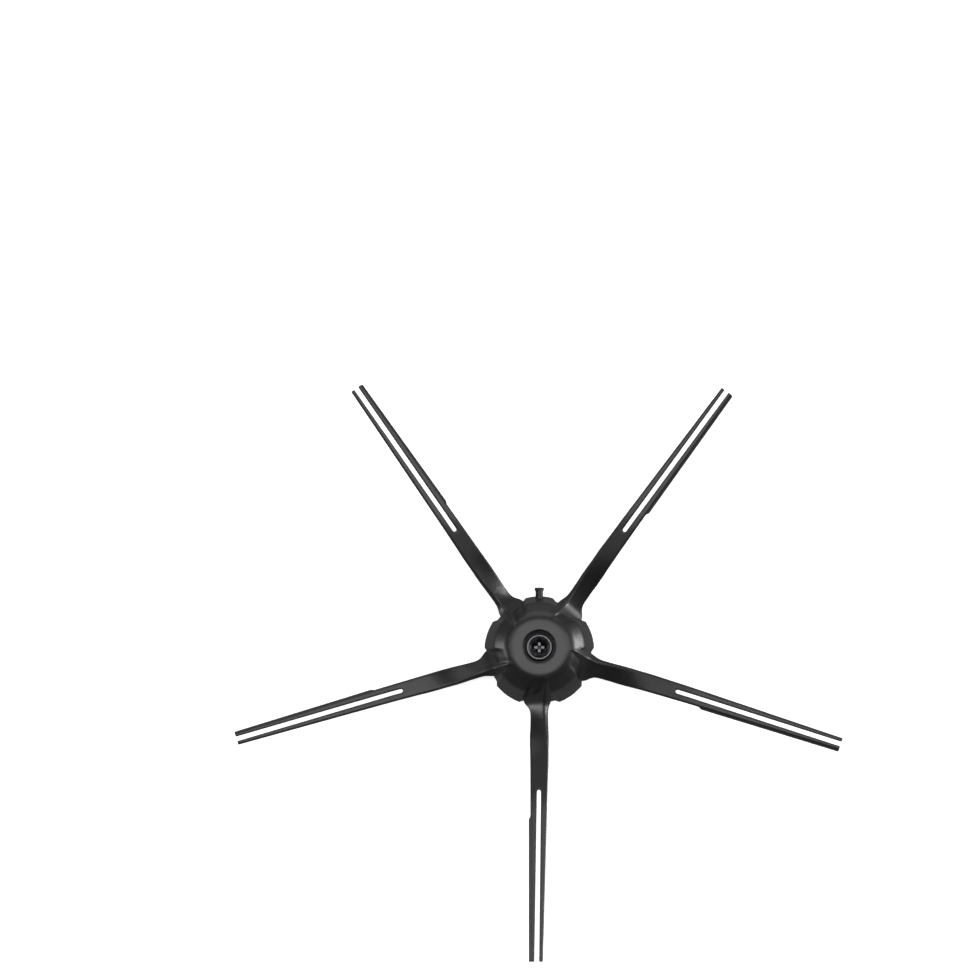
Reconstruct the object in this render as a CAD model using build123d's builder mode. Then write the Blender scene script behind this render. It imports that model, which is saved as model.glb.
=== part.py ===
import math
import os

from build123d import *

# Robot vacuum side brush, lying on its back rim with the screw head up.
# The origin is on the turning axis in the plane of the back rim, one arm points along -Y, sizes in mm.

# Arms
arm_count = 5
first_arm_angle = -90
tip_reach = 87.0
arm_width_root = 5.4
arm_width_tip = 3.4
arm_thick_root = 1.9
arm_thick_tip = 1.1
arm_sweep_tip = 0.7
arm_edge_bevel = 0.3

# Twist of each blade: its left-hand edge stands up at the hub and lies flat further out
twist_root = 45
twist_start = 15.0
twist_end = 33.0

# Side profile of each arm: steep from the hub, then a bend into flatter strips
arm_slope_inner = 17
arm_slope_outer = 9
bend_start = 40.0
bend_end = 45.5
arm_top_at_bend = 13.9

# Crest: the raised edge climbs the dome, leans to the left-hand side and runs out at the boss
crest_rise = 10.0
crest_lean = 0.8
crest_middle = 12.0
crest_run = 1.5

# Concave flares where a blade leaves the hub
arm_root = 17.0
flare_inner = 12.6
flare_outer = 15.1
flare_run = 0.8
flare_left = 1.2
flare_right = 3.2

# Stations of the blade's sections: from the boss over the root to the bend, then straight to the tip
arm_begin = 7.0
root_end = 20.0
root_steps = 15
blade_steps = 7

# Slot that splits an arm into two strips, and the lip along the right-hand strip
slot_start = 39.5
slot_width_start = 1.1
slot_width_tip = 1.3
lip_start = 47.0
lip_run_in = 0.8
lip_out = 0.5
lip_drop = 1.3
lip_thick = 0.6

# Hub
hub_height = 13.5
rim_radius = 15.4
shoulder_radius = 12.7
shoulder_height = 9.5
boss_radius = 8.8
boss_step = 0.3
dome_round = 3.4
lobe_width = 9.2
lobe_step = 0.8
lobe_bevel = 0.8
wall = 2.1
roof_underside = 8.6
boss_bore_radius = 4.45

# Hard core
core_radius = 6.4
core_flange_radius = 8.0
core_flange_bottom = 9.0
core_top = 11.2
seat_height = 9.3
seat_radius = 4.3
socket_flats = 7.0
socket_sides = 6
socket_depth = 7.4

# Peg of the core that shows above the hub's edge
peg_radius = 1.05
peg_collar_radius = 1.3
peg_collar_length = 0.7
peg_height = 2.4
peg_reach = 17.4

# Captive screw
screw_head_radius = 3.7
screw_head_height = 2.4
screw_head_bevel = 0.35
screw_dish_radius = 3.2
screw_dish_depth = 0.15
screw_dish_slope = 30
screw_thread_radius = 1.5
screw_waist_radius = 1.25
screw_tip_height = 4.5
screw_tip_chamfer = 0.4
recess_span = 4.2
recess_width = 1.2
recess_depth = 1.6
recess_floor = 1.6
waist_clearance = 0.08
seat_clearance = 0.1

# Sizes that follow from the ones above
screw_hole_radius = screw_waist_radius + waist_clearance
socket_roof = seat_height - socket_depth
head_bottom = seat_height + seat_clearance
head_top = head_bottom + screw_head_height
waist_bottom = socket_depth - seat_clearance
recess_bottom = head_top - screw_dish_depth - recess_depth
recess_profile = [
    (-recess_span / 2, head_top),
    (recess_span / 2, head_top),
    (recess_floor / 2, recess_bottom),
    (-recess_floor / 2, recess_bottom),
]
root_lean = math.cos(math.radians(twist_root))
slope_inner = math.tan(math.radians(arm_slope_inner))
slope_outer = math.tan(math.radians(arm_slope_outer))


def ease(r, start, end):
    """0 before start, 1 after end, smooth in between."""
    s = min(max((r - start) / (end - start), 0.0), 1.0)
    return s * s * (3 - 2 * s)


def along(r, at_root, at_tip):
    """Straight change along the arm from where it leaves the hub to its tip."""
    return at_root + (at_tip - at_root) * (r - arm_root) / (tip_reach - arm_root)


def fade(r, full, middle, run):
    """Full near the axis, half at middle and nothing far out, in a smooth S curve."""
    return full / (1 + math.exp((r - middle) / run))


def flare(r, full):
    """Widening of a blade at the hub's edge: nothing on the dome and nothing further out."""
    return fade(r, full, flare_outer, flare_run) * fade(-r, 1, -flare_inner, flare_run)


def arm_top(r):
    """Height of the straight arm's upper face: steep, a rounded bend, then flatter."""
    d = r - bend_start
    run = bend_end - bend_start
    if d <= 0:
        return arm_top_at_bend + slope_inner * d
    bent = min(d, run)
    height = slope_inner * bent - (slope_inner - slope_outer) * bent**2 / (2 * run)
    return arm_top_at_bend + height + slope_outer * (d - bent)


def arm_middle(r):
    """Sideways place of the arm's middle: it sweeps a little to the right-hand side further out."""
    return -arm_sweep_tip * max(r - twist_end, 0.0) / (tip_reach - twist_end)


def arm_corners(r):
    """Corners of the blade's cross-section at distance r from the axis, crest first."""
    twist = math.radians(twist_root) * (1 - ease(r, twist_start, twist_end))
    wide = along(r, arm_width_root, arm_width_tip)
    thick = along(r, arm_thick_root, arm_thick_tip)
    across = (math.cos(twist), math.sin(twist))
    down = (math.sin(twist), -math.cos(twist))
    flat_y = arm_middle(r) + (wide * across[0] - thick * down[0]) / 2
    crest_y = flat_y + fade(r, crest_lean, crest_middle, crest_run)
    crest_z = arm_top(r) + fade(r, crest_rise, crest_middle, crest_run)
    long = wide + flare(r, flare_right) / root_lean
    deep = thick + flare(r, flare_left) / root_lean
    crest = (crest_y, crest_z)
    left = (crest_y + deep * down[0], crest_z + deep * down[1])
    upper_right = (crest_y - long * across[0], crest_z - long * across[1])
    lower_right = (upper_right[0] + thick * down[0], upper_right[1] + thick * down[1])
    return [crest, left, lower_right, upper_right]


def arm_edge(r):
    """Sideways place of the right-hand edge of the flat part of the arm."""
    return arm_middle(r) - along(r, arm_width_root, arm_width_tip) / 2


def lip_corners(r):
    """Corners of the lip's cross-section: a thin flange that slopes down off the right-hand edge."""
    edge = arm_edge(r)
    top = arm_top(r) - arm_edge_bevel
    return [
        (edge + lip_thick, top),
        (edge, top),
        (edge - lip_out, top - lip_drop),
        (edge - lip_out + lip_thick / 2, top - lip_drop - lip_thick),
        (edge + lip_thick, arm_top(r) - along(r, arm_thick_root, arm_thick_tip)),
    ]


def cross_plane(r):
    """Upright plane across an arm that points along +X, with the left-hand side as its x."""
    return Plane(origin=(r, 0, 0), x_dir=(0, 1, 0), z_dir=(1, 0, 0))


# Half outlines of the dome and of a lobe, from the top to the back rim
dome_outline = [
    (0, hub_height),
    (boss_radius, hub_height),
    (shoulder_radius - lobe_step, shoulder_height),
    (rim_radius - lobe_step, 0),
]
lobe_top = hub_height - boss_step
lobe_slope = (shoulder_radius - boss_radius) / (hub_height - shoulder_height)
lobe_outline = [
    (0, lobe_top),
    (boss_radius + boss_step * lobe_slope, lobe_top),
    (shoulder_radius, shoulder_height),
    (rim_radius, 0),
]

# Spans of the arm's sections and of its lip, and the slot's plan
arm_spans = [
    (arm_begin, root_end, root_steps),
    (root_end, bend_end, blade_steps),
    (bend_end, tip_reach, 1),
]
lip_edge = arm_edge(lip_start)
lip_end = [(lip_start, lip_edge), (lip_start, lip_edge - lip_out), (lip_start + lip_run_in, lip_edge - lip_out)]
slot_end = tip_reach + slot_width_tip
slot_inner = slot_start + slot_width_start / 2
slot_left = [
    (slot_inner, arm_middle(slot_inner) + slot_width_start / 2),
    (slot_end, arm_middle(slot_end) + slot_width_tip / 2),
]
slot_right = [
    (slot_end, arm_middle(slot_end) - slot_width_tip / 2),
    (slot_inner, arm_middle(slot_inner) - slot_width_start / 2),
]

# Hard core: sleeve with drive socket, flange held in the soft moulding, screw seat and peg
with BuildPart() as drive_core:
    with BuildSketch(Plane.XY):
        Circle(core_radius)
    extrude(amount=core_flange_bottom)
    with BuildSketch(Plane.XY.offset(core_flange_bottom)):
        Circle(core_flange_radius)
    extrude(amount=core_top - core_flange_bottom)
    with BuildSketch(Plane.XZ):
        with Locations((0, peg_height)):
            Circle(peg_radius)
    extrude(amount=-peg_reach)
    with BuildSketch(Plane.XZ.offset(-peg_reach)):
        with Locations((0, peg_height)):
            Circle(peg_collar_radius)
    extrude(amount=peg_collar_length)
    with BuildSketch(Plane.XY.offset(seat_height)):
        Circle(seat_radius)
    extrude(amount=core_top - seat_height, mode=Mode.SUBTRACT)
    with BuildSketch(Plane.XY):
        RegularPolygon(socket_flats / 2, socket_sides, major_radius=False)
    extrude(amount=socket_depth, mode=Mode.SUBTRACT)
    with BuildSketch(Plane.XY.offset(socket_depth)):
        Circle(screw_hole_radius)
    extrude(amount=socket_roof, mode=Mode.SUBTRACT)

# One arm along +X: twisted root, twisted blade up to the bend, then straight strips with slot and lip
with BuildPart() as arm:
    for start, end, steps in arm_spans:
        for i in range(steps + 1):
            r = start + (end - start) * i / steps
            with BuildSketch(cross_plane(r)) as section:
                with BuildLine():
                    Polyline(*arm_corners(r), close=True)
                make_face()
                chamfer(section.vertices(), arm_edge_bevel)
        loft(ruled=steps == 1)
    for r in (lip_start, tip_reach):
        with BuildSketch(cross_plane(r)):
            with BuildLine():
                Polyline(*lip_corners(r), close=True)
            make_face()
    loft(ruled=True)
    with BuildSketch(Plane.XY):
        with BuildLine():
            Polyline(*lip_end, close=True)
        make_face()
    extrude(amount=arm_top(slot_end), mode=Mode.SUBTRACT)
    with BuildSketch(Plane.XY):
        with BuildLine():
            Polyline(*slot_left, *slot_right)
            ThreePointArc(slot_right[-1], (slot_start, arm_middle(slot_start)), slot_left[0])
        make_face()
    extrude(amount=arm_top(slot_end), mode=Mode.SUBTRACT)

# One lobe along +X: the hub's outline turned about the axis, cut to a straight bar with bevelled sides
with BuildPart() as lobe:
    with BuildSketch(Plane.XZ):
        with BuildLine():
            FilletPolyline(*lobe_outline, radius=dome_round)
            Polyline(lobe_outline[-1], (0, 0), lobe_outline[0])
        make_face()
    revolve(axis=Axis.Z)
    with BuildSketch(Plane.XY):
        Rectangle(rim_radius, lobe_width, align=(Align.MIN, Align.CENTER))
    extrude(amount=hub_height, mode=Mode.INTERSECT)
    lobe_sides = lobe.faces().filter_by(Axis.Y)
    lobe_inside = lobe.faces().sort_by(Axis.X)[0]
    chamfer(lobe_sides.edges() - lobe.edges().group_by(Axis.Z)[0] - lobe_inside.edges(), lobe_bevel)

# Soft moulding: dome, lobes and arms in one, hollow at the back, with the core's place left out
with BuildPart() as brush_body:
    with BuildSketch(Plane.XZ):
        with BuildLine():
            FilletPolyline(*dome_outline, radius=dome_round)
            Polyline(dome_outline[-1], (0, 0), dome_outline[0])
        make_face()
    revolve(axis=Axis.Z)
    with PolarLocations(0, arm_count, start_angle=first_arm_angle + 180 / arm_count):
        add(lobe.part)
    with PolarLocations(0, arm_count, start_angle=first_arm_angle):
        add(arm.part)
    with BuildSketch(Plane.XY.offset(hub_height)):
        Circle(shoulder_radius)
    extrude(amount=crest_rise, mode=Mode.SUBTRACT)
    with BuildSketch(Plane.XZ):
        with BuildLine():
            Polyline(
                (0, 0),
                (rim_radius - lobe_step - wall, 0),
                (shoulder_radius - lobe_step - wall, roof_underside),
                (0, roof_underside),
                close=True,
            )
        make_face()
    revolve(axis=Axis.Z, mode=Mode.SUBTRACT)
    with BuildSketch(Plane.XY):
        Circle(core_radius)
    extrude(amount=core_flange_bottom, mode=Mode.SUBTRACT)
    with BuildSketch(Plane.XY.offset(core_flange_bottom)):
        Circle(core_flange_radius)
    extrude(amount=core_top - core_flange_bottom, mode=Mode.SUBTRACT)
    with BuildSketch(Plane.XY.offset(core_top)):
        Circle(boss_bore_radius)
    extrude(amount=hub_height - core_top, mode=Mode.SUBTRACT)
    with BuildSketch(Plane.XZ):
        with Locations((0, peg_height)):
            Circle(peg_radius)
    extrude(amount=-peg_reach, mode=Mode.SUBTRACT)

# Captive screw: pan head with cross recess, waist in the core's hole, threaded end in the socket
with BuildPart() as captive_screw:
    with BuildSketch(Plane.XY.offset(head_bottom)):
        Circle(screw_head_radius)
    extrude(amount=screw_head_height)
    chamfer(captive_screw.edges().group_by(Axis.Z)[-1], screw_head_bevel)
    with BuildSketch(Plane.XY.offset(head_top)):
        Circle(screw_dish_radius)
    extrude(amount=-screw_dish_depth, taper=screw_dish_slope, mode=Mode.SUBTRACT)
    for side in (Plane.XZ, Plane.YZ):
        with BuildSketch(side):
            with BuildLine():
                Polyline(*recess_profile, close=True)
            make_face()
        extrude(amount=recess_width / 2, both=True, mode=Mode.SUBTRACT)
    with BuildSketch(Plane.XY.offset(waist_bottom)):
        Circle(screw_waist_radius)
    extrude(amount=head_bottom - waist_bottom)
    with BuildSketch(Plane.XY.offset(screw_tip_height)):
        Circle(screw_thread_radius)
    extrude(amount=waist_bottom - screw_tip_height)
    chamfer(captive_screw.edges().group_by(Axis.Z)[0], screw_tip_chamfer)

os.makedirs("parts", exist_ok=True)
brush_body.part.label = "brush_body"
export_step(brush_body.part, "parts/brush_body.step")
drive_core.part.label = "drive_core"
export_step(drive_core.part, "parts/drive_core.step")
captive_screw.part.label = "captive_screw"
export_step(captive_screw.part, "parts/captive_screw.step")
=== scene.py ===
import math

import bmesh
import bpy
from bpy.props import FloatProperty, IntProperty, PointerProperty, StringProperty
from mathutils import Matrix, Vector


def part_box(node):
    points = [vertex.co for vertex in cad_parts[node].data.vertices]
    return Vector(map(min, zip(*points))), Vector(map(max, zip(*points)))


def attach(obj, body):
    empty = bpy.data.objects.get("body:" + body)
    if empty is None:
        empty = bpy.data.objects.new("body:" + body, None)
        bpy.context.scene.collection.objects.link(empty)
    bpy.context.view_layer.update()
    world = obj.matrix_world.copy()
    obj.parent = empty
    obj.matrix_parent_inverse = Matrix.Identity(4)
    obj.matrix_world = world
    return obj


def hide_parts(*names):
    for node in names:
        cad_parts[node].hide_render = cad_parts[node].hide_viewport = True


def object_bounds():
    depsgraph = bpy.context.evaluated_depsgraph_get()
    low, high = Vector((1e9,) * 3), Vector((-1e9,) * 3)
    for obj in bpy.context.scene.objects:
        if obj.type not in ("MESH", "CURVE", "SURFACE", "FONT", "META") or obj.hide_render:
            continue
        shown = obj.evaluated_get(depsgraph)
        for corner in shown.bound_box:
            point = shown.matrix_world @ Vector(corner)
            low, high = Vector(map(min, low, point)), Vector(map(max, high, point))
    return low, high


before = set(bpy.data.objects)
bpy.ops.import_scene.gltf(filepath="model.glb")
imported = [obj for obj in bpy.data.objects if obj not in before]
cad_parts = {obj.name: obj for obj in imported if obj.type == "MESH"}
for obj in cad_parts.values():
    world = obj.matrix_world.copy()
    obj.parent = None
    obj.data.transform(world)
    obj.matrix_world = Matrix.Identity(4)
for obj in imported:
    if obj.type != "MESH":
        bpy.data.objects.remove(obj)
cad_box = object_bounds()

bl_info = {
    "name": "Robot vacuum side brush",
    "version": (1, 0, 0),
    "blender": (4, 5, 0),
    "location": "View3D > Sidebar > Side brush",
    "description": "Dresses the side brush: rubber body, drive core, captive screw and a pale studio",
    "category": "Object",
}

MM = 0.001
FULL_TURN = math.tau
# material slot of the head's rim, whose lighter steel shows its wear and paints the rim's highlight
WORN_AND_HIGHLIGHT = 1
CUT_PROUD = 0.01 * MM
NEAR = 0.001 * MM
screw_low, screw_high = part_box("captive_screw")

# Rubber: the hub ends where the arms leave it, and the boss's edge is a ring between the crests
HUB_FULL = 14.5 * MM
HUB_END = 18 * MM
BOSS_IN = 5.6 * MM
BOSS_OUT = 11.5 * MM
BOSS_LOW = 9.6 * MM
BOSS_FADE = 1.2 * MM
FACING_UP = 4
ARM_STEP = 72
BETWEEN_CRESTS = 27
CREST_CLEAR = 30
CREST_FADE = 8

# Screw: turning marks, patina, and proportions of the recess and the thread
TURNING_PITCH = 0.3 * MM
TURNED_DEPTH = 0.01 * MM
PRESSED_DEPTH = 0.005 * MM
PATINA_MM = 0.6
PATINA_SHADE = 0.75
RECESS_TAPER = 0.75
CONE_STEPS = 24
THREAD_STEPS = 24
THREAD_HALF_WIDTH = 0.42
THREAD_SEAT = 1.2

# Stage: gaps under the brush, and each softbox's azimuth and elevation in degrees, distance, width and height
PAPER_TOOTH_MM = 1.5
PAPER_GAP = 0.05 * MM
CARD_GAP = 1 * MM
SOFTBOXES = {
    "overhead": ((90, 88), 0.8, 0.5, 0.46),
    "high_right": ((18, 56), 0.8, 0.3, 0.22),
    "high_left": ((162, 56), 0.8, 0.3, 0.22),
    "low_right": ((9, 3), 0.65, 0.26, 0.08),
    "low_left": ((178, 4), 0.65, 0.2, 0.1),
    "back": ((90, 20), 0.7, 0.8, 0.45),
}


def linear(hex_colour):
    """An sRGB hex value such as #1d1d1e as the linear colour that a shader socket takes."""
    parts = [int(hex_colour[i:i + 2], 16) / 255 for i in (1, 3, 5)]
    return [p / 12.92 if p <= 0.04045 else ((p + 0.055) / 1.055) ** 2.4 for p in parts] + [1.0]


def add_node(tree, kind, settings=None, links=None):
    """Adds a node with its settings and its links, given as input name: value or (node, output name)."""
    node = tree.nodes.new(kind)
    for name, value in (settings or {}).items():
        setattr(node, name, value)
    for name, value in (links or {}).items():
        if isinstance(value, tuple) and isinstance(value[0], bpy.types.Node):
            tree.links.new(value[0].outputs[value[1]], node.inputs[name])
        else:
            node.inputs[name].default_value = value
    return node


def new_material(name):
    """A material with its node tree, its shader and the piece's own Object coordinates."""
    material = bpy.data.materials.new(name)
    material.use_nodes = True
    tree = material.node_tree
    shader = tree.nodes["Principled BSDF"]
    place = add_node(tree, "ShaderNodeTexCoord")
    return material, tree, shader, place


def per_mm(size_mm):
    """The texture scale that repeats a pattern once in so many millimetres."""
    return 1 / (size_mm * MM)


def rubber_material(look):
    """Thermoplastic rubber, injection moulded in a spark-eroded tool: satin black, and softer in its
    reflections than a hard plastic, with a fine even grain and a faint grey bloom in broad patches."""
    material, tree, shader, place = new_material("thermoplastic_rubber_moulded_black")
    bloom = add_node(tree, "ShaderNodeTexNoise", {}, {
        "Vector": (place, "Object"), "Scale": per_mm(look.bloom_size / MM), "Detail": 4.0, "Roughness": 0.6})
    tint = add_node(tree, "ShaderNodeValToRGB", {}, {"Fac": (bloom, "Fac")})
    tint.color_ramp.elements[0].position = 0.3
    tint.color_ramp.elements[0].color = linear(look.colour)
    tint.color_ramp.elements[1].position = 0.75
    tint.color_ramp.elements[1].color = linear(look.bloom_colour)
    # the real grain is about 0.1 mm, drawn coarser so that it shows in the render
    grain = add_node(tree, "ShaderNodeTexNoise", {}, {
        "Vector": (place, "Object"), "Scale": per_mm(look.grain_size / MM), "Detail": 3.0, "Roughness": 0.65})
    gloss = add_node(tree, "ShaderNodeMapRange", {}, {
        "Value": (grain, "Fac"), "To Min": look.roughness - 0.06, "To Max": look.roughness + 0.08})
    relief = add_node(tree, "ShaderNodeBump", {}, {
        "Height": (grain, "Fac"), "Strength": 0.35, "Distance": look.grain_depth})
    tree.links.new(tint.outputs["Color"], shader.inputs["Base Color"])
    tree.links.new(gloss.outputs["Result"], shader.inputs["Roughness"])
    tree.links.new(relief.outputs["Normal"], shader.inputs["Normal"])
    shader.inputs["IOR"].default_value = 1.5
    return material


def plastic_material(look):
    """Acetal, injection moulded: harder, smoother and a little glossier than the rubber round it."""
    material, tree, shader, place = new_material("acetal_moulded_black")
    flow = add_node(tree, "ShaderNodeTexNoise", {}, {
        "Vector": (place, "Object"), "Scale": per_mm(look.flow_size / MM), "Detail": 3.0})
    tint = add_node(tree, "ShaderNodeValToRGB", {}, {"Fac": (flow, "Fac")})
    tint.color_ramp.elements[0].position = 0.35
    tint.color_ramp.elements[0].color = linear(look.colour)
    tint.color_ramp.elements[1].position = 0.7
    tint.color_ramp.elements[1].color = linear(look.flow_colour)
    gloss = add_node(tree, "ShaderNodeMapRange", {}, {
        "Value": (flow, "Fac"), "To Min": look.roughness - 0.05, "To Max": look.roughness + 0.05})
    edge = add_node(tree, "ShaderNodeBevel", {"samples": 4}, {"Radius": look.edge_radius})
    relief = add_node(tree, "ShaderNodeBump", {}, {
        "Height": (flow, "Fac"), "Normal": (edge, "Normal"), "Strength": 0.15, "Distance": 0.02 * MM})
    tree.links.new(tint.outputs["Color"], shader.inputs["Base Color"])
    tree.links.new(gloss.outputs["Result"], shader.inputs["Roughness"])
    tree.links.new(relief.outputs["Normal"], shader.inputs["Normal"])
    shader.inputs["IOR"].default_value = 1.48
    return material


def steel_material(name, colour, roughness, ring_size, ring_depth):
    """Steel, turned and then blackened or left uncoated: a metal whose turning rings show as fine circles.
    Its lighter copies paint the screw rim's highlight and the recess's glints.
    """
    material, tree, shader, place = new_material(name)
    rings = add_node(tree, "ShaderNodeTexWave", {
        "wave_type": "RINGS", "rings_direction": "Z", "wave_profile": "SIN"}, {
        "Vector": (place, "Object"), "Scale": per_mm(ring_size / MM) / FULL_TURN, "Distortion": 0.4})
    patina = add_node(tree, "ShaderNodeTexNoise", {}, {
        "Vector": (place, "Object"), "Scale": per_mm(PATINA_MM), "Detail": 4.0})
    gloss = add_node(tree, "ShaderNodeMapRange", {}, {
        "Value": (patina, "Fac"), "To Min": roughness - 0.06, "To Max": roughness + 0.1})
    relief = add_node(tree, "ShaderNodeBump", {}, {
        "Height": (rings, "Fac"), "Strength": 0.2, "Distance": ring_depth})
    shade = linear(colour)
    tint = add_node(tree, "ShaderNodeValToRGB", {}, {"Fac": (patina, "Fac")})
    tint.color_ramp.elements[0].position = 0.3
    tint.color_ramp.elements[0].color = [PATINA_SHADE * c for c in shade[:3]] + [1.0]
    tint.color_ramp.elements[1].position = 0.7
    tint.color_ramp.elements[1].color = shade
    tree.links.new(tint.outputs["Color"], shader.inputs["Base Color"])
    tree.links.new(gloss.outputs["Result"], shader.inputs["Roughness"])
    tree.links.new(relief.outputs["Normal"], shader.inputs["Normal"])
    shader.inputs["Metallic"].default_value = 1.0
    return material


def paper_material(look):
    """Seamless background paper: matt white with a faint even tooth."""
    material, tree, shader, place = new_material("background_paper_matt_white")
    tooth = add_node(tree, "ShaderNodeTexNoise", {}, {
        "Vector": (place, "Object"), "Scale": per_mm(PAPER_TOOTH_MM), "Detail": 2.0})
    relief = add_node(tree, "ShaderNodeBump", {}, {
        "Height": (tooth, "Fac"), "Strength": 0.05, "Distance": 0.05 * MM})
    tree.links.new(relief.outputs["Normal"], shader.inputs["Normal"])
    shader.inputs["Base Color"].default_value = linear(look.paper_colour)
    shader.inputs["Roughness"].default_value = 0.9
    shader.inputs["Specular IOR Level"].default_value = 0.1
    shader.inputs["Emission Color"].default_value = linear(look.paper_colour)
    shader.inputs["Emission Strength"].default_value = look.paper_glow
    return material


def card_material(look):
    """Grey bounce card: gives the steep sides of the brush something dim to mirror."""
    material, _, shader, _ = new_material("bounce_card_matt_grey")
    shader.inputs["Base Color"].default_value = linear("#000000")
    shader.inputs["Specular IOR Level"].default_value = 0.0
    shader.inputs["Emission Color"].default_value = linear("#ffffff")
    shader.inputs["Emission Strength"].default_value = look.card_glow
    return material


def new_piece(name, shape, *materials):
    """A mesh object at the origin made from a bmesh, which is freed."""
    mesh = bpy.data.meshes.new(name)
    shape.to_mesh(mesh)
    shape.free()
    for material in materials:
        mesh.materials.append(material)
    piece = bpy.data.objects.new(name, mesh)
    bpy.context.scene.collection.objects.link(piece)
    return piece


def apply_modifiers(piece):
    """Puts the result of the piece's modifiers into its mesh."""
    bpy.context.view_layer.update()
    graph = bpy.context.evaluated_depsgraph_get()
    finished = bpy.data.meshes.new_from_object(piece.evaluated_get(graph))
    piece.modifiers.clear()
    piece.data = finished


def hub_share(point):
    """1 on the hub, 0 on the arms and in between where an arm leaves the hub."""
    reach = math.hypot(point.co.x, point.co.y)
    return min(max((HUB_END - reach) / (HUB_END - HUB_FULL), 0.0), 1.0)


def boss_share(point):
    """1 round the boss's upper edge between two crests, 0 at the crests, the bore and the skirts."""
    reach = math.hypot(point.co.x, point.co.y)
    bearing = math.degrees(math.atan2(point.co.y, point.co.x)) - BETWEEN_CRESTS
    off_middle = abs((bearing + ARM_STEP / 2) % ARM_STEP - ARM_STEP / 2)
    share = min(
        (reach - BOSS_IN) / BOSS_FADE, (BOSS_OUT - reach) / BOSS_FADE, (point.co.z - BOSS_LOW) / BOSS_FADE,
        (CREST_CLEAR - off_middle) / CREST_FADE, FACING_UP * point.normal.z)
    return min(max(share, 0.0), 1.0)


def spun(profile, steps):
    """A closed round shape from a profile of (radius, height) points that starts and ends on the Z axis."""
    shape = bmesh.new()
    points = [shape.verts.new((r, 0, z)) for r, z in profile]
    lines = [shape.edges.new(pair) for pair in zip(points, points[1:])]
    bmesh.ops.spin(
        shape, geom=points + lines, axis=(0, 0, 1), cent=(0, 0, 0), angle=FULL_TURN, steps=steps,
        use_merge=True)
    bmesh.ops.remove_doubles(shape, verts=shape.verts, dist=1e-7)
    bmesh.ops.recalc_face_normals(shape, faces=shape.faces)
    return shape


def ring_edges(shape, radius, height):
    """The edges of a round shape that lie on one circle."""
    def on_circle(vert):
        off_height = abs(vert.co.z - height)
        off_radius = abs(math.hypot(vert.co.x, vert.co.y) - radius)
        return max(off_height, off_radius) < NEAR

    return [edge for edge in shape.edges if all(on_circle(vert) for vert in edge.verts)]


def screw_blank(look):
    """The screw without its recess and its thread's ridge."""
    top = screw_high.z
    under = top - look.head_height
    waist_end = under - look.waist_height
    root = look.thread_radius - look.thread_depth
    sunk = top - look.dish_depth
    slope = 2 * look.dish_depth
    blank = spun([
        (0, sunk), (look.dish_radius - slope, sunk), (look.dish_radius, top), (look.head_radius, top),
        (look.head_radius, under), (look.waist_radius, under), (look.waist_radius, waist_end),
        (root, waist_end), (root, screw_low.z + look.thread_depth), (root - look.thread_depth, screw_low.z),
        (0, screw_low.z)], look.steps)
    # the head's flat top ring and the rim's rounding take the lighter steel, which shows the rim's wear and
    # paints a thin highlight round it
    for face in blank.faces:
        if face.calc_center_median().z > (top + sunk) / 2:
            face.material_index = WORN_AND_HIGHLIGHT
    rim = ring_edges(blank, look.head_radius, top)
    worn_and_highlight = bmesh.ops.bevel(
        blank, geom=rim, offset=look.rim_round, affect="EDGES", segments=4, profile=0.5, material=-1)
    for face in worn_and_highlight["faces"]:
        face.material_index = WORN_AND_HIGHLIGHT
    brow = ring_edges(blank, look.dish_radius, top)
    bmesh.ops.bevel(
        blank, geom=brow, offset=look.rim_round / 4, affect="EDGES", segments=2, profile=0.5, material=-1)
    for face in blank.faces:
        face.smooth = True
    return blank


def recess_wing(look, turn):
    """A tapered bar that sinks two opposite wings of the recess into the head."""
    face = screw_high.z - look.dish_depth
    bar = bmesh.new()
    bmesh.ops.create_cube(bar, size=1.0)
    floor = [v for v in bar.verts if v.co.z < 0]
    bmesh.ops.scale(bar, verts=floor, vec=(RECESS_TAPER, RECESS_TAPER, 1))
    bmesh.ops.scale(bar, verts=bar.verts, vec=(look.recess_span, look.recess_width, look.recess_depth))
    bmesh.ops.translate(bar, verts=bar.verts, vec=(0, 0, face - look.recess_depth / 2 + CUT_PROUD))
    bmesh.ops.rotate(bar, verts=bar.verts, cent=(0, 0, 0), matrix=Matrix.Rotation(turn, 3, "Z"))
    return bar


def recess_middle(look):
    """The cone that the driver's tip presses in the middle of the recess."""
    face = screw_high.z - look.dish_depth
    cone = bmesh.new()
    bmesh.ops.create_cone(
        cone, cap_ends=True, segments=CONE_STEPS, radius1=look.recess_tip_radius,
        radius2=look.recess_middle_radius, depth=look.recess_tip_depth)
    bmesh.ops.translate(cone, verts=cone.verts, vec=(0, 0, face - look.recess_tip_depth / 2 + 2 * CUT_PROUD))
    return cone


def screw_thread(look):
    """The thread's ridge, a triangle carried round and down the root."""
    top = screw_high.z - look.head_height - look.waist_height - look.thread_pitch
    turns = (top - screw_low.z) / look.thread_pitch - 1
    root = look.thread_radius - look.thread_depth * THREAD_SEAT
    half = look.thread_pitch * THREAD_HALF_WIDTH
    ridge = bmesh.new()
    corners = ((root, 0, top + half), (look.thread_radius, 0, top), (root, 0, top - half))
    start = ridge.faces.new([ridge.verts.new(corner) for corner in corners])
    steps = round(turns * THREAD_STEPS)
    bmesh.ops.spin(
        ridge, geom=[start], axis=(0, 0, 1), cent=(0, 0, 0), angle=turns * FULL_TURN, steps=steps,
        dvec=(0, 0, -look.thread_pitch * turns / steps))
    bmesh.ops.recalc_face_normals(ridge, faces=ridge.faces)
    return ridge


def level_sheet(name, size, gap, material):
    """A square sheet that lies level, a gap below the brush."""
    sheet = bmesh.new()
    bmesh.ops.create_grid(sheet, x_segments=2, y_segments=2, size=size / 2)
    bmesh.ops.translate(sheet, verts=sheet.verts, vec=(0, 0, cad_box[0].z - gap))
    return new_piece(name, sheet, material)


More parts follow.
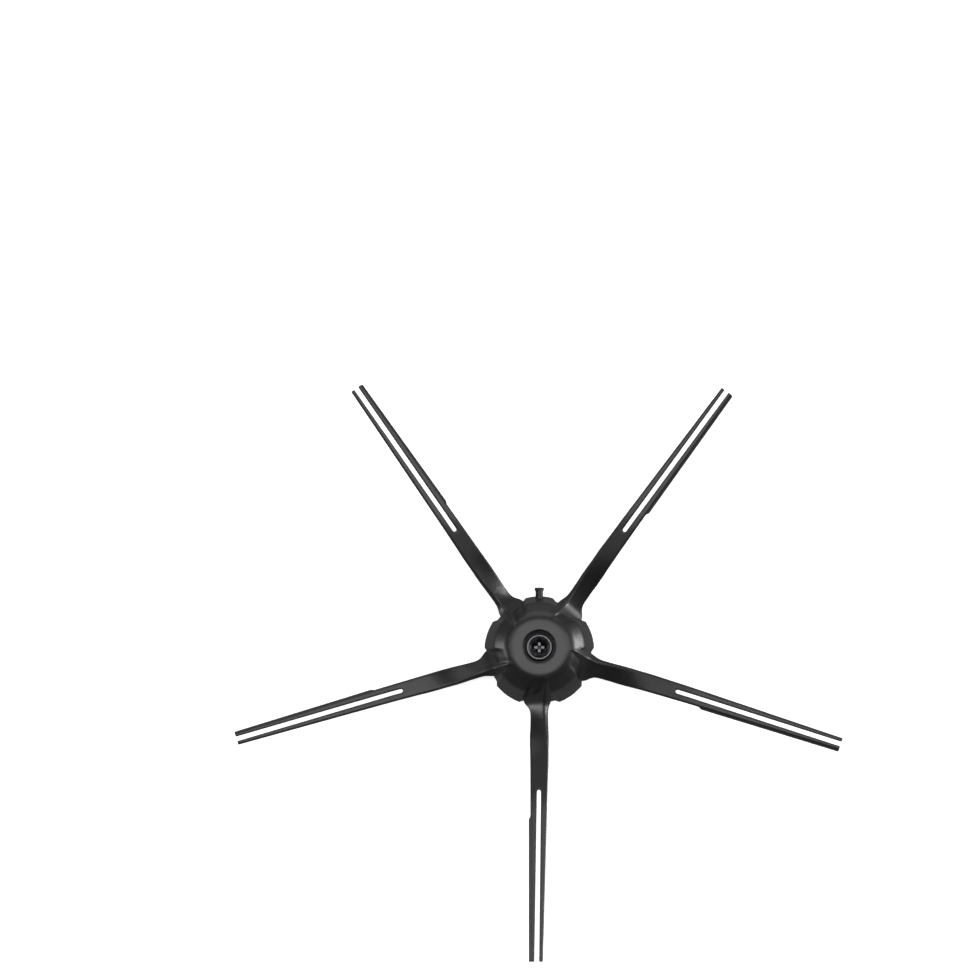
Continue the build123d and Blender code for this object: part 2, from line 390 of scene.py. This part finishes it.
def softbox(name, bearing, distance, width, height, power):
    """A rectangular studio light that faces the hub, placed by its azimuth and elevation in degrees."""
    azimuth, elevation = (math.radians(angle) for angle in bearing)
    lamp = bpy.data.lights.new(name, "AREA")
    lamp.shape = "RECTANGLE"
    lamp.size = width
    lamp.size_y = height
    lamp.energy = power
    level = math.cos(elevation)
    away = Vector((level * math.cos(azimuth), level * math.sin(azimuth), math.sin(elevation)))
    box = bpy.data.objects.new(name, lamp)
    box.location = away * distance
    box.rotation_euler = (-away).to_track_quat("-Z", "Y").to_euler()
    box.visible_camera = False
    bpy.context.scene.collection.objects.link(box)


def stand_camera(scene, look):
    """A long lens over the hub, turned so that the hub has its place in the picture."""
    data = bpy.data.cameras.new("camera")
    data.lens = look.lens
    data.sensor_width = 36.0
    distance = look.frame_width * look.lens / data.sensor_width
    hub = Vector((0, 0, screw_high.z))
    back = Vector((0, -math.cos(look.elevation), math.sin(look.elevation)))
    up = Vector((0, math.sin(look.elevation), math.cos(look.elevation)))
    right = Vector((1, 0, 0))
    eye = hub + back * distance
    aim = hub - right * (look.hub_right * look.frame_width) + up * (look.hub_down * look.frame_width)
    forward = (aim - eye).normalized()
    across = (right - forward * forward.dot(right)).normalized()
    turn = Matrix((across, across.cross(forward), -forward)).transposed().to_4x4()
    camera = bpy.data.objects.new("camera", data)
    camera.matrix_world = Matrix.Translation(eye) @ turn
    data.clip_start = 0.01
    data.clip_end = 20.0
    scene.collection.objects.link(camera)
    scene.camera = camera


class RubberLook(bpy.types.PropertyGroup):
    skin: FloatProperty(
        name="Skin spacing", description="Spacing of the points that the softened skin is made from",
        default=0.2 * MM, min=0.15 * MM, unit="LENGTH", precision=5)
    curve_cuts: IntProperty(
        name="Curve cuts", description="Cuts in each edge of the solid's skin, which follow its curvature",
        default=3, min=1, max=6)
    edge_passes: IntProperty(
        name="Edge passes", description="Smoothing passes that round every moulded edge", default=4, min=0)
    hub_passes: IntProperty(
        name="Hub passes", description="Further smoothing passes on the hub, whose edges are rounder",
        default=4, min=0)
    boss_passes: IntProperty(
        name="Boss passes", description="Further smoothing passes on the boss's edge between the crests",
        default=60, min=0)
    keep_share: FloatProperty(
        name="Share of faces kept", description="Share of the skin's faces that the thinned mesh keeps",
        default=0.36, min=0.1, max=1.0, subtype="FACTOR")
    colour: StringProperty(name="Rubber colour", description="sRGB hex value", default="#19191a")
    bloom_colour: StringProperty(
        name="Bloom colour", description="sRGB hex value of the rubber's grey bloom", default="#212122")
    bloom_size: FloatProperty(
        name="Bloom size", description="Width of a patch of bloom",
        default=9 * MM, unit="LENGTH", precision=5)
    grain_size: FloatProperty(
        name="Grain size", description="Width of a grain of the mould's texture",
        default=0.45 * MM, unit="LENGTH", precision=5)
    grain_depth: FloatProperty(
        name="Grain depth", description="Depth of the mould's texture",
        default=0.03 * MM, unit="LENGTH", precision=6)
    roughness: FloatProperty(
        name="Roughness", description="Middle roughness of the rubber", default=0.37, subtype="FACTOR")


class CoreLook(bpy.types.PropertyGroup):
    colour: StringProperty(name="Plastic colour", description="sRGB hex value", default="#101011")
    flow_colour: StringProperty(
        name="Flow colour", description="sRGB hex value of the plastic's flow marks", default="#171718")
    flow_size: FloatProperty(
        name="Flow size", description="Width of a flow mark", default=2.5 * MM, unit="LENGTH", precision=5)
    edge_radius: FloatProperty(
        name="Edge radius", description="Rounding of the moulded edges",
        default=0.15 * MM, unit="LENGTH", precision=5)
    roughness: FloatProperty(
        name="Roughness", description="Middle roughness of the plastic", default=0.5, subtype="FACTOR")


class ScrewLook(bpy.types.PropertyGroup):
    head_radius: FloatProperty(
        name="Head radius", description="Radius of the pan head",
        default=screw_high.x, unit="LENGTH", precision=5)
    head_height: FloatProperty(
        name="Head height", description="Height of the pan head",
        default=2.4 * MM, unit="LENGTH", precision=5)
    rim_round: FloatProperty(
        name="Rim rounding", description="Rounding of the head's rim",
        default=0.35 * MM, unit="LENGTH", precision=5)
    dish_radius: FloatProperty(
        name="Dish radius", description="Radius of the sunk face",
        default=3.0 * MM, unit="LENGTH", precision=5)
    dish_depth: FloatProperty(
        name="Dish depth", description="Depth of the sunk face",
        default=0.15 * MM, unit="LENGTH", precision=6)
    recess_span: FloatProperty(
        name="Recess span", description="Cross recess, tip to tip",
        default=3.6 * MM, unit="LENGTH", precision=5)
    recess_width: FloatProperty(
        name="Recess width", description="Width of a wing", default=0.85 * MM, unit="LENGTH", precision=5)
    recess_depth: FloatProperty(
        name="Recess depth", description="Depth of a wing", default=0.9 * MM, unit="LENGTH", precision=5)
    recess_middle_radius: FloatProperty(
        name="Middle radius", description="Radius of the pressed cone in the middle of the recess",
        default=0.75 * MM, unit="LENGTH", precision=5)
    recess_tip_radius: FloatProperty(
        name="Tip radius", description="Radius of the cone's floor",
        default=0.3 * MM, unit="LENGTH", precision=5)
    recess_tip_depth: FloatProperty(
        name="Tip depth", description="Depth of the cone", default=1.7 * MM, unit="LENGTH", precision=5)
    waist_radius: FloatProperty(
        name="Waist radius", description="Radius of the plain waist",
        default=1.25 * MM, unit="LENGTH", precision=5)
    waist_height: FloatProperty(
        name="Waist height", description="Height of the plain waist",
        default=2.1 * MM, unit="LENGTH", precision=5)
    thread_radius: FloatProperty(
        name="Thread radius", description="Crest radius of the thread",
        default=1.5 * MM, unit="LENGTH", precision=5)
    thread_pitch: FloatProperty(
        name="Thread pitch", description="Rise of the thread in one turn", default=0.5 * MM, unit="LENGTH",
        precision=5)
    thread_depth: FloatProperty(
        name="Thread depth", description="Depth of the thread", default=0.3 * MM, unit="LENGTH", precision=5)
    steps: IntProperty(name="Steps", description="Steps round the head", default=96, min=24)
    black_colour: StringProperty(name="Black steel colour", description="sRGB hex value", default="#333335")
    # lighter steel of the head's rim, for its wear and a painted highlight
    worn_highlight_colour: StringProperty(name="Worn rim colour", description="sRGB hex value", default="#525255")
    # lighter uncoated steel on the recess's wing floors, which paints the recess's glints
    bare_glint_colour: StringProperty(name="Bare steel colour", description="sRGB hex value", default="#5a5b5d")
    roughness: FloatProperty(
        name="Roughness", description="Middle roughness of the steel", default=0.3, subtype="FACTOR")


class StageLook(bpy.types.PropertyGroup):
    paper_colour: StringProperty(name="Paper colour", description="sRGB hex value", default="#f6f6f5")
    paper_glow: FloatProperty(
        name="Paper glow", description="Light that comes through the paper", default=0.78)
    card_glow: FloatProperty(name="Card glow", description="Light that the bounce card sends up", default=0.2)
    paper_size: FloatProperty(name="Paper size", description="Width of the paper", default=6.0, unit="LENGTH")
    elevation: FloatProperty(
        name="Camera elevation", description="Height of the view above the horizon, seen from the hub",
        default=math.radians(84.5), subtype="ANGLE")
    lens: FloatProperty(name="Lens", description="Focal length in millimetres", default=200.0)
    frame_width: FloatProperty(
        name="Frame width", description="Width that the picture takes in at the screw's height",
        default=0.268, unit="LENGTH")
    hub_right: FloatProperty(
        name="Hub to the right", description="The hub's place right of the picture's middle, in frame widths",
        default=0.056, precision=4)
    hub_down: FloatProperty(
        name="Hub down", description="The hub's place below the picture's middle, in frame widths",
        default=0.167, precision=4)
    overhead: FloatProperty(
        name="Overhead light", description="Power of the overhead softbox in watts", default=2.6)
    high_right: FloatProperty(
        name="High right light", description="Power of the high right softbox in watts", default=1.1)
    high_left: FloatProperty(
        name="High left light", description="Power of the high left softbox in watts", default=0.6)
    low_right: FloatProperty(
        name="Low right light", description="Power of the low right softbox in watts", default=3.2)
    low_left: FloatProperty(
        name="Low left light", description="Power of the low left softbox in watts", default=1.2)
    back: FloatProperty(name="Back light", description="Power of the back softbox in watts", default=1.5)
    sky: FloatProperty(name="Fill light", description="Strength of the room's even light", default=0.06)


class SIDE_BRUSH_OT_rubber_body(bpy.types.Operator):
    """Softens the moulded body: its skin is taken from the solid and every edge is rounded as rubber is"""
    bl_idname = "side_brush.rubber_body"
    bl_label = "Rubber body"

    def execute(self, context):
        look = context.scene.rubber_look
        skin = bmesh.new()
        skin.from_mesh(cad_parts["brush_body"].data)
        # each curved face is still apart from its neighbours here, so its new points follow its own curve
        bmesh.ops.subdivide_edges(
            skin, edges=skin.edges[:], cuts=look.curve_cuts, smooth=1.0, use_grid_fill=True)
        bmesh.ops.remove_doubles(skin, verts=skin.verts, dist=look.skin / 6)
        body = new_piece("rubber_body", skin, rubber_material(look))
        even = body.modifiers.new("even skin", "REMESH")
        even.mode = "VOXEL"
        even.voxel_size = look.skin
        even.use_smooth_shade = True
        round_edges = body.modifiers.new("round edges", "SMOOTH")
        round_edges.factor = 0.5
        round_edges.iterations = look.edge_passes
        apply_modifiers(body)
        areas = (("hub", hub_share, look.hub_passes), ("boss", boss_share, look.boss_passes))
        for name, share, passes in areas:
            area = body.vertex_groups.new(name=name)
            for point in body.data.vertices:
                weight = share(point)
                if weight > 0:
                    area.add([point.index], weight, "REPLACE")
            soften = body.modifiers.new("round " + name, "SMOOTH")
            soften.factor = 0.5
            soften.iterations = passes
            soften.vertex_group = area.name
        thin = body.modifiers.new("thin faces", "DECIMATE")
        thin.ratio = look.keep_share
        apply_modifiers(body)
        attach(body, "hub")
        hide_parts("brush_body")
        return {"FINISHED"}


class SIDE_BRUSH_OT_drive_core(bpy.types.Operator):
    """Finishes the hard core with moulded black plastic"""
    bl_idname = "side_brush.drive_core"
    bl_label = "Drive core"

    def execute(self, context):
        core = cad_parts["drive_core"]
        core.data.materials.clear()
        core.data.materials.append(plastic_material(context.scene.core_look))
        return {"FINISHED"}


class SIDE_BRUSH_OT_captive_screw(bpy.types.Operator):
    """Turns the captive screw: pan head with a sunk face and a cross recess, plain waist and thread"""
    bl_idname = "side_brush.captive_screw"
    bl_label = "Captive screw"

    def execute(self, context):
        look = context.scene.screw_look
        # the rim's steel is lighter to paint the rim's highlight as well as its wear
        black, worn_and_highlight, bare_glint = (
            steel_material(name, colour, look.roughness, TURNING_PITCH, depth)
            for name, colour, depth in (
                ("steel_turned_black_oxide", look.black_colour, TURNED_DEPTH),
                ("steel_black_oxide_worn", look.worn_highlight_colour, TURNED_DEPTH),
                ("steel_pressed_bare", look.bare_glint_colour, PRESSED_DEPTH)))
        screw = new_piece("cross_recess_screw", screw_blank(look), black, worn_and_highlight)
        cuts = (
            # the wing floors' lighter steel paints the glints round the recess's dark middle
            (recess_wing(look, 0), bare_glint),
            (recess_wing(look, FULL_TURN / 4), bare_glint),
            (recess_middle(look), black))
        # one cutter at a time, because cutters that overlap each other spoil the cut
        for shape, finish in cuts:
            cutter = new_piece("recess_cutter", shape, finish)
            cut = screw.modifiers.new("cross recess", "BOOLEAN")
            cut.operation = "DIFFERENCE"
            cut.solver = "EXACT"
            cut.object = cutter
            cut.material_mode = "TRANSFER"
            apply_modifiers(screw)
            bpy.data.objects.remove(cutter)
        thread = screw_thread(look)
        thread.from_mesh(screw.data)
        thread.to_mesh(screw.data)
        thread.free()
        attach(screw, "screw")
        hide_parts("captive_screw")
        return {"FINISHED"}


class SIDE_BRUSH_OT_stage(bpy.types.Operator):
    """Lays the pale paper, hangs the softboxes and stands the camera over the brush"""
    bl_idname = "side_brush.stage"
    bl_label = "Stage"

    def execute(self, context):
        look = context.scene.stage_look
        floor = level_sheet("paper_floor", look.paper_size, PAPER_GAP, paper_material(look))
        floor.visible_glossy = False
        bounce = level_sheet("bounce_card", look.paper_size, CARD_GAP, card_material(look))
        bounce.visible_camera = False
        bounce.visible_diffuse = False
        bounce.visible_shadow = False
        for name, place in SOFTBOXES.items():
            softbox(name, *place, getattr(look, name))
        world = bpy.data.worlds.new("studio_fill")
        world.use_nodes = True
        fill = world.node_tree.nodes["Background"]
        fill.inputs["Strength"].default_value = look.sky
        fill.inputs["Color"].default_value = linear("#ffffff")
        context.scene.world = world
        context.scene.view_settings.view_transform = "Standard"
        stand_camera(context.scene, look)
        return {"FINISHED"}


class SIDE_BRUSH_PT_panel(bpy.types.Panel):
    """Lists the pieces of the side brush and its stage"""
    bl_label = "Side brush"
    bl_idname = "SIDE_BRUSH_PT_panel"
    bl_space_type = "VIEW_3D"
    bl_region_type = "UI"
    bl_category = "Side brush"

    def draw(self, context):
        for step in STEPS:
            self.layout.operator(step.bl_idname)


LOOKS = {"rubber_look": RubberLook, "core_look": CoreLook, "screw_look": ScrewLook, "stage_look": StageLook}
STEPS = (
    SIDE_BRUSH_OT_rubber_body,
    SIDE_BRUSH_OT_drive_core,
    SIDE_BRUSH_OT_captive_screw,
    SIDE_BRUSH_OT_stage,
)


def register():
    for look in LOOKS.values():
        bpy.utils.register_class(look)
    for step in STEPS:
        bpy.utils.register_class(step)
    bpy.utils.register_class(SIDE_BRUSH_PT_panel)
    for name, look in LOOKS.items():
        setattr(bpy.types.Scene, name, PointerProperty(type=look))


def unregister():
    for name in LOOKS:
        delattr(bpy.types.Scene, name)
    bpy.utils.unregister_class(SIDE_BRUSH_PT_panel)
    for step in reversed(STEPS):
        bpy.utils.unregister_class(step)
    for look in LOOKS.values():
        bpy.utils.unregister_class(look)


def main():
    register()
    bpy.ops.side_brush.rubber_body()
    bpy.ops.side_brush.drive_core()
    bpy.ops.side_brush.captive_screw()
    bpy.ops.side_brush.stage()


if __name__ == "__main__":
    main()
